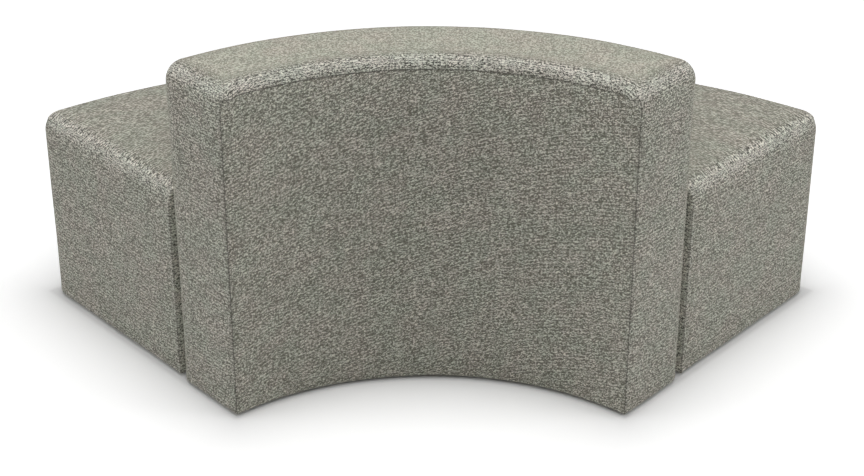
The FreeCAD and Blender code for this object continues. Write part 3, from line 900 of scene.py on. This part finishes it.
def metal(name, bright, dull, roughness):
    """Zinc-plated steel: cloudy patches in the plating, fine scratches, and a rougher handling film."""
    material, tree, shader = new_material(name)
    place = node(tree, "ShaderNodeTexCoord").outputs["Object"]
    clouds = node(tree, "ShaderNodeTexNoise", Vector=place, Scale=45.0, Detail=4.0, Roughness=0.6)
    streaked = node(tree, "ShaderNodeMapping", Vector=place, Scale=(900.0, 60.0, 60.0),
                    Rotation=(0.0, 0.0, 0.6))
    scratches = node(tree, "ShaderNodeTexNoise", Vector=streaked.outputs[0], Scale=1.0, Detail=3.0)
    tree.links.new(ramp(tree, clouds.outputs["Fac"], [(0.35, dull), (0.65, bright)]),
                   shader.inputs["Base Color"])
    shader.inputs["Metallic"].default_value = 1.0
    film = node(tree, "ShaderNodeMapRange", Value=clouds.outputs["Fac"],
                To_Min=roughness, To_Max=roughness + 0.2)
    tree.links.new(film.outputs[0], shader.inputs["Roughness"])
    raised_by(tree, shader, scratches.outputs["Fac"], 0.15, 0.0002)
    return material


def ring_point(radius, turn, height):
    """A point round the arc centre, at a turn from the bench's middle."""
    return Vector((radius * math.sin(turn), radius * math.cos(turn) + ARC_CENTRE_Y, height))


def widest_turn(end, radius):
    """How far round a line parallel to the end plane is, at a radius."""
    return HALF_ANGLE + math.asin(end / radius)


def dust_cloth(unit_name):
    """The stretched sheet, very slightly uneven."""
    rear, front, end, _ = UNIT_SHAPES[unit_name]
    rear, front, end = rear + DUST_CLOTH_IN, front - DUST_CLOTH_IN, end - DUST_CLOTH_IN
    radii = [rear, *steps(rear, front, 0.014), front]
    shares = [-1.0, *steps(-1.0, 1.0, 0.028 / ((rear + front) * HALF_ANGLE)), 1.0]
    points = []
    for share in shares:
        for radius in radii:
            spot = ring_point(radius, share * widest_turn(end, radius), 0.0)
            edge = min(radius - rear, front - radius, (1 - abs(share)) * radius * HALF_ANGLE)
            spot.z = DUST_CLOTH_MIDDLE + 0.00022 * noise.noise(spot * 14.0) * eased(edge, 0.0, 0.04)
            points.append(spot)
    row = len(radii)
    faces = [(a * row + b, a * row + b + 1, (a + 1) * row + b + 1, (a + 1) * row + b)
             for a in range(len(shares) - 1) for b in range(row - 1)]
    mesh = bpy.data.meshes.new(unit_name + "_dust_cloth_sheet")
    mesh.from_pydata(points, [], faces)
    mesh.materials.append(dust_cloth_black)
    piece = bpy.data.objects.new(mesh.name, mesh)
    bpy.context.scene.collection.objects.link(piece)
    low, high = (Vector(map(pick, zip(*points))) for pick in (min, max))
    wall = piece.modifiers.new("Cloth", "SOLIDIFY")
    wall.thickness = DUST_CLOTH_THICKNESS
    wall.offset = 0.0
    set_plain_mesh(piece)
    piece.data.shade_smooth()
    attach(piece, "root")
    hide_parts(unit_name + "_dust_cloth")
    return piece


def staple_lines(unit_name):
    """Lines just inside the cloth's edge, with gaps where the joining bars cross it."""
    rear, front, end, _ = UNIT_SHAPES[unit_name]
    inset = DUST_CLOTH_IN + 0.006
    rear, front, end = rear + inset, front - inset, end - inset
    height = DUST_CLOTH_MIDDLE - DUST_CLOTH_THICKNESS / 2 - STAPLE_WIRE / 2
    points, edges = [], []
    for radius in (rear, front):
        previous = None
        for turn in np.linspace(-widest_turn(end, radius), widest_turn(end, radius), 160):
            clear = all(abs(turn - bar * HALF_ANGLE) * radius > BAR_HALF_WIDTH + 0.010 for bar in BAR_TURNS)
            if clear:
                points.append(ring_point(radius, turn, height))
                if previous is not None:
                    edges.append((previous, len(points) - 1))
            previous = len(points) - 1 if clear else None
    for side in (-1, 1):
        points += [ring_point(radius, side * widest_turn(end, radius), height)
                   for radius in (rear + 0.020, front - 0.020)]
        edges.append((len(points) - 2, len(points) - 1))
    mesh = bpy.data.meshes.new(unit_name + "_staple_lines")
    mesh.from_pydata(points, edges, [])
    return mesh


def staple_item():
    """A flat-crown staple: a bent wire with two legs that go up into the plywood."""
    mesh = bpy.data.meshes.new("staple")
    half, leg, bend = STAPLE_CROWN / 2, STAPLE_LEG, 0.0008
    line = [(-half, leg), (-half, bend), (-half + bend * 0.3, bend * 0.3), (-half + bend, 0.0),
            (half - bend, 0.0), (half - bend * 0.3, bend * 0.3), (half, bend), (half, leg)]
    points, faces = [], []
    for x, z in line:
        aside, over = (1, 0) if z >= bend else (0.7, 0.7) if z > 0 else (0, 1)
        inward = -math.copysign(aside, x)
        for across, up in ((-1, -1), (1, -1), (1, 1), (-1, 1)):
            reach = up * STAPLE_WIRE / 2
            points.append((x + inward * reach, across * STAPLE_HALF_WIDTH, z + over * reach))
    count = len(line)
    for n in range(count - 1):
        for k in range(4):
            faces.append((4 * n + k, 4 * n + (k + 1) % 4, 4 * n + 4 + (k + 1) % 4, 4 * n + 4 + k))
    faces += [(3, 2, 1, 0), tuple(4 * (count - 1) + k for k in range(4))]
    mesh.from_pydata(points, [], faces)
    item = bpy.data.objects.new("staple", mesh)
    bpy.context.scene.collection.objects.link(item)
    return item


dust_cloth_black = spunbond("spunbond_black")
staple_steel = metal("staple_wire_galvanised", (0.62, 0.62, 0.60), (0.42, 0.42, 0.41), 0.32)
for unit_name in ("back", "seat"):
    dust_cloth(unit_name)
    repeated(unit_name + "_dust_cloth_staples", staple_lines(unit_name), staple_item(), along_a_line,
             staple_steel, "bar_steel", Spacing=STAPLE_SPACING, Turn_low=(0.0, 0.0, -0.12),
             Turn_high=(0.0, 0.0, 0.12), Seed=11)


# Glides
# Round black nylon feet, each moulded round a square steel pin that is knocked up through the dust
# cloth and the hem into the base plate. Four carry the back and five the seat.

GLIDE_RADIUS, GLIDE_HEIGHT, PIN_TOP, PIN_WIDTH = 0.015, 0.006, 0.0236, 0.0028


def nylon(name):
    """Moulded black nylon with a fine spark texture, its sole scuffed grey."""
    material, tree, shader = new_material(name)
    place = node(tree, "ShaderNodeTexCoord").outputs["Object"]
    spark = node(tree, "ShaderNodeTexNoise", Vector=place, Scale=1100.0, Detail=2.0)
    streaked = node(tree, "ShaderNodeMapping", Vector=place, Scale=(500.0, 70.0, 40.0),
                    Rotation=(0.0, 0.0, 0.9))
    scuffs = node(tree, "ShaderNodeTexNoise", Vector=streaked.outputs[0], Scale=1.0, Detail=4.0)
    height = node(tree, "ShaderNodeSeparateXYZ", Vector=place)
    sole = node(tree, "ShaderNodeMapRange", Value=height.outputs["Z"], From_Min=0.0002, From_Max=0.0012,
                To_Min=1.0, To_Max=0.0)
    worn = arithmetic(tree, "MULTIPLY", sole.outputs[0], scuffs.outputs["Fac"])
    tree.links.new(ramp(tree, worn, [(0.25, (0.016, 0.016, 0.017)), (0.65, (0.10, 0.10, 0.10))]),
                   shader.inputs["Base Color"])
    gloss = node(tree, "ShaderNodeMapRange", Value=spark.outputs["Fac"], To_Min=0.38, To_Max=0.55)
    tree.links.new(gloss.outputs[0], shader.inputs["Roughness"])
    raised_by(tree, shader, spark.outputs["Fac"], 0.2, 0.0002)
    return material


def glide_spots(unit_name):
    """The centres of the unit's glides, read from the frame's solids."""
    solids = bmesh.new()
    solids.from_mesh(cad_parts[unit_name + "_glides"].data)
    soles = [v.co for v in solids.verts if v.co.z < 1e-5]
    centres = []
    for spot in soles:
        near = [c for c in centres if math.dist(c[0][:2], spot[:2]) < 2.5 * GLIDE_RADIUS]
        if near:
            near[0].append(spot.copy())
        else:
            centres.append([spot.copy()])
    solids.free()
    boxes = [[(min(p[k] for p in group) + max(p[k] for p in group)) / 2 for k in (0, 1)] for group in centres]
    mesh = bpy.data.meshes.new(unit_name + "_glide_spots")
    mesh.from_pydata([(x, y, 0.0) for x, y in boxes], [], [])
    return mesh


glide_nylon = nylon("nylon_black")
pin_steel = metal("pin_steel", (0.52, 0.51, 0.49), (0.36, 0.35, 0.34), 0.35)
for unit_name in ("back", "seat"):
    foot = turned_item("foot", [(0.0, 0.0005), (0.0016, 0.0004), (0.0022, 0.0), (GLIDE_RADIUS - 0.0022, 0.0),
                                (GLIDE_RADIUS - 0.0011, 0.0003), (GLIDE_RADIUS - 0.0003, 0.0011),
                                (GLIDE_RADIUS, 0.0022), (GLIDE_RADIUS, 0.0050),
                                (GLIDE_RADIUS - 0.0004, 0.0057), (GLIDE_RADIUS - 0.0012, GLIDE_HEIGHT),
                                (0.0, GLIDE_HEIGHT)], 40)
    feet = repeated(unit_name + "_glide_feet", glide_spots(unit_name), foot, at_each_point, glide_nylon,
                    "glide_nylon")
    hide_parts(unit_name + "_glides")
    half = PIN_WIDTH / math.sqrt(2)
    pin = turned_item("pin", [(0.0, 0.003), (half, 0.003), (half, PIN_TOP - 0.005), (0.0, PIN_TOP)], 4)
    pin.data.shade_flat()
    repeated(unit_name + "_glide_pins", glide_spots(unit_name), pin, at_each_point, pin_steel, "bar_steel",
             Turn_low=(0.0, 0.0, math.pi / 4), Turn_high=(0.0, 0.0, math.pi / 4))


# Joining bars
# Two flat zinc-plated bars cross the joint under the floor side. A pan-head screw at each end of a bar
# holds it, through the dust cloth and the hem, to the base plate of its unit.

BAR_LOW = 0.003
JOINT_RADIUS, SCREW_OFFSET = 0.83225, 0.062
SCREW_HEAD, SCREW_SHANK, SCREW_TOP = 0.0048, 0.0021, 0.0240


def screw_item():
    """A pan-head screw seen from below, with a cross recess sunk in its head."""
    low = BAR_LOW - 0.0024
    profile = [(0.0, low + 0.0013), (0.0016, low + 0.0012), (0.0019, low), (0.0034, low + 0.0002),
               (0.0044, low + 0.0009), (SCREW_HEAD, low + 0.0018), (SCREW_HEAD, BAR_LOW),
               (SCREW_SHANK, BAR_LOW)]
    height = BAR_LOW
    while height < SCREW_TOP - 0.004:
        profile += [(SCREW_SHANK, height + 0.0002), (SCREW_SHANK * 0.74, height + 0.0009)]
        height += 0.0016
    item = turned_item("screw", profile + [(0.0, SCREW_TOP)], 24)
    for vertex in item.data.vertices:
        radius = math.hypot(vertex.co.x, vertex.co.y)
        if 0.0015 < radius < 0.0020 and vertex.co.z < BAR_LOW:
            angle = math.atan2(vertex.co.y, vertex.co.x)
            wanted = 0.0009 + 0.0013 * abs(math.cos(2 * angle)) ** 3
            share = wanted / radius
            vertex.co.x *= share
            vertex.co.y *= share
    return item


bar_zinc = metal("zinc_plate", (0.66, 0.68, 0.70), (0.50, 0.52, 0.54), 0.28)
screw_zinc = metal("screw_zinc", (0.70, 0.70, 0.68), (0.54, 0.54, 0.53), 0.25)
finish_node("joining_bars", bar_zinc)
screw_spots = bpy.data.meshes.new("screw_spots")
screw_spots.from_pydata([ring_point(JOINT_RADIUS, turn * HALF_ANGLE, 0.0)
                         + Vector((side * SCREW_OFFSET * math.sin(turn * HALF_ANGLE),
                                   side * SCREW_OFFSET * math.cos(turn * HALF_ANGLE), 0.0))
                         for turn in BAR_TURNS for side in (-1, 1)], [], [])
repeated("joining_bar_screws", screw_spots, screw_item(), at_each_point, screw_zinc, "bar_steel",
         Turn_low=(0.0, 0.0, 0.0), Turn_high=(0.0, 0.0, 6.2), Seed=7)


# Studio
# A white floor and backdrop, with a soft shadow painted round the bench's footprint, soft lights overhead,
# behind the camera and at both sides, and the camera where the photograph was taken: behind the bench,
# a little over two metres up, looking down.

PAPER, FLOOR_HALF = 0.88, 30.0
NEAR_LIFT, NEAR_REACH = 0.14, 0.010           # emission lifts the paper less near the bench's foot, painting a soft shadow, first within a centimetre, then over some decimetres, and all white far from the bench
WIDE_LIFT, WIDE_REACH = 0.30, 0.120           # first within a centimetre, then over some decimetres,
FAR_LIFT, FAR_FROM, FAR_TO = 0.5, 1.6, 4.0    # and all white far from the bench
SKY_ON_THE_BENCH = 0.13


def seen_ray(tree):
    """1 for what is seen, straight, in a gloss or through glass, and 0 for the light on the bench."""
    rays = node(tree, "ShaderNodeLightPath").outputs
    straight_or_gloss = arithmetic(tree, "MAXIMUM", rays["Is Camera Ray"], rays["Is Glossy Ray"])
    return arithmetic(tree, "MAXIMUM", straight_or_gloss, rays["Is Transmission Ray"])


def off_the_bench(tree):
    """How far a point of the floor is from the bench's footprint, which is a slice of a ring."""
    rear, front, end = UNIT_SHAPES["back"][0], UNIT_SHAPES["seat"][1], UNIT_SHAPES["back"][2]
    place = node(tree, "ShaderNodeSeparateXYZ", Vector=node(tree, "ShaderNodeTexCoord").outputs["Object"])
    aside = arithmetic(tree, "ABSOLUTE", place.outputs["X"])
    ahead = arithmetic(tree, "SUBTRACT", place.outputs["Y"], ARC_CENTRE_Y)
    radius = hypotenuse(tree, aside, ahead)
    past_end = arithmetic(tree, "SUBTRACT", arithmetic(tree, "MULTIPLY", aside, math.cos(HALF_ANGLE)),
                          arithmetic(tree, "MULTIPLY_ADD", ahead, math.sin(HALF_ANGLE), end))
    past_ring = arithmetic(tree, "MAXIMUM", arithmetic(tree, "SUBTRACT", rear, radius),
                           arithmetic(tree, "SUBTRACT", radius, front))
    return hypotenuse(tree, *(arithmetic(tree, "MAXIMUM", 0.0, past) for past in (past_end, past_ring)))


def hypotenuse(tree, first, second):
    """The long side of a right triangle, as an output."""
    squares = [arithmetic(tree, "MULTIPLY", side, side) for side in (first, second)]
    return arithmetic(tree, "SQRT", arithmetic(tree, "ADD", *squares))


def rising(tree, distance, most, reach):
    """A lift that grows from 0 towards its most, the faster the shorter its reach."""
    left = arithmetic(tree, "EXPONENT", arithmetic(tree, "DIVIDE", distance, -reach))
    return arithmetic(tree, "MULTIPLY_ADD", left, -most, most)


def paper_floor():
    """White paper that keeps the bench's shadow, has a soft shadow painted round the bench's footprint,
    and goes over into the white backdrop.
    """
    material, tree, shader = new_material("studio_paper")
    shader.inputs["Base Color"].default_value = (PAPER, PAPER, PAPER, 1.0)
    shader.inputs["Roughness"].default_value = 1.0
    shader.inputs["Specular IOR Level"].default_value = 0.0
    gap = off_the_bench(tree)
    # Less lift near the footprint paints a soft shadow round the bench.
    near = arithmetic(tree, "ADD", rising(tree, gap, NEAR_LIFT, NEAR_REACH),
                      rising(tree, gap, WIDE_LIFT, WIDE_REACH))
    place = node(tree, "ShaderNodeTexCoord").outputs["Object"]
    away = node(tree, "ShaderNodeVectorMath", {"operation": "LENGTH"})
    tree.links.new(place, away.inputs[0])
    far = node(tree, "ShaderNodeMapRange", Value=away.outputs["Value"], From_Min=FAR_FROM, From_Max=FAR_TO,
               To_Min=0.0, To_Max=FAR_LIFT)
    lifts = arithmetic(tree, "ADD", near, far.outputs[0])
    shader.inputs["Emission Color"].default_value = (1.0, 1.0, 1.0, 1.0)
    tree.links.new(arithmetic(tree, "MULTIPLY", seen_ray(tree), lifts), shader.inputs["Emission Strength"])
    mesh = bpy.data.meshes.new("studio_floor")
    mesh.from_pydata([(x * FLOOR_HALF, y * FLOOR_HALF, 0.0)
                      for x, y in ((-1, -1), (1, -1), (1, 1), (-1, 1))], [], [(0, 1, 2, 3)])
    mesh.materials.append(material)
    floor = bpy.data.objects.new("studio_floor", mesh)
    bpy.context.scene.collection.objects.link(floor)
    return floor


def soft_light(name, place, aim, width, height, power):
    """A large soft lamp at a place, turned to what it lights."""
    data = bpy.data.lights.new(name, "AREA")
    data.shape = "RECTANGLE"
    data.size, data.size_y, data.energy = width, height, power
    lamp = bpy.data.objects.new(name, data)
    lamp.location = place
    lamp.rotation_euler = (Vector(aim) - Vector(place)).to_track_quat("-Z", "Y").to_euler()
    bpy.context.scene.collection.objects.link(lamp)
    return lamp


paper_floor()
soft_light("overhead", (0.0, 0.3, 3.6), (0.0, 0.0, 0.0), 4.0, 4.0, 86.0)
soft_light("behind_camera", (0.0, -3.2, 3.2), (0.0, 0.0, 0.2), 3.0, 2.0, 38.0)
soft_light("left_side", (-4.0, -0.8, 1.8), (0.0, 0.0, 0.3), 2.0, 2.4, 37.0)
soft_light("right_side", (4.0, -0.8, 1.8), (0.0, 0.0, 0.3), 2.0, 2.4, 46.0)

world = bpy.data.worlds.new("studio")
bpy.context.scene.world = world
world.use_nodes = True
sky = world.node_tree
background = sky.nodes["Background"]
background.inputs["Color"].default_value = (1.0, 1.0, 1.0, 1.0)
strength = node(sky, "ShaderNodeMapRange", Value=seen_ray(sky), To_Min=SKY_ON_THE_BENCH, To_Max=1.0)
sky.links.new(strength.outputs[0], background.inputs["Strength"])

SENSOR, FRAME_PIXELS, FOCAL_PIXELS = 36.0, 864, 1901.5
CAMERA_ASIDE, CAMERA_BEHIND, CAMERA_HEIGHT, CAMERA_DOWN = 0.0026, 2.9579, 2.2367, math.radians(27.82)
lens = bpy.data.cameras.new("camera")
lens.sensor_width = SENSOR
lens.lens = FOCAL_PIXELS / FRAME_PIXELS * SENSOR
camera = bpy.data.objects.new("camera", lens)
camera.location = (CAMERA_ASIDE, ARC_CENTRE_Y - CAMERA_BEHIND, CAMERA_HEIGHT)
camera.rotation_euler = (math.radians(90) - CAMERA_DOWN, 0.0, 0.0)
bpy.context.scene.collection.objects.link(camera)
bpy.context.scene.camera = camera
bpy.context.scene.view_settings.view_transform = "Standard"
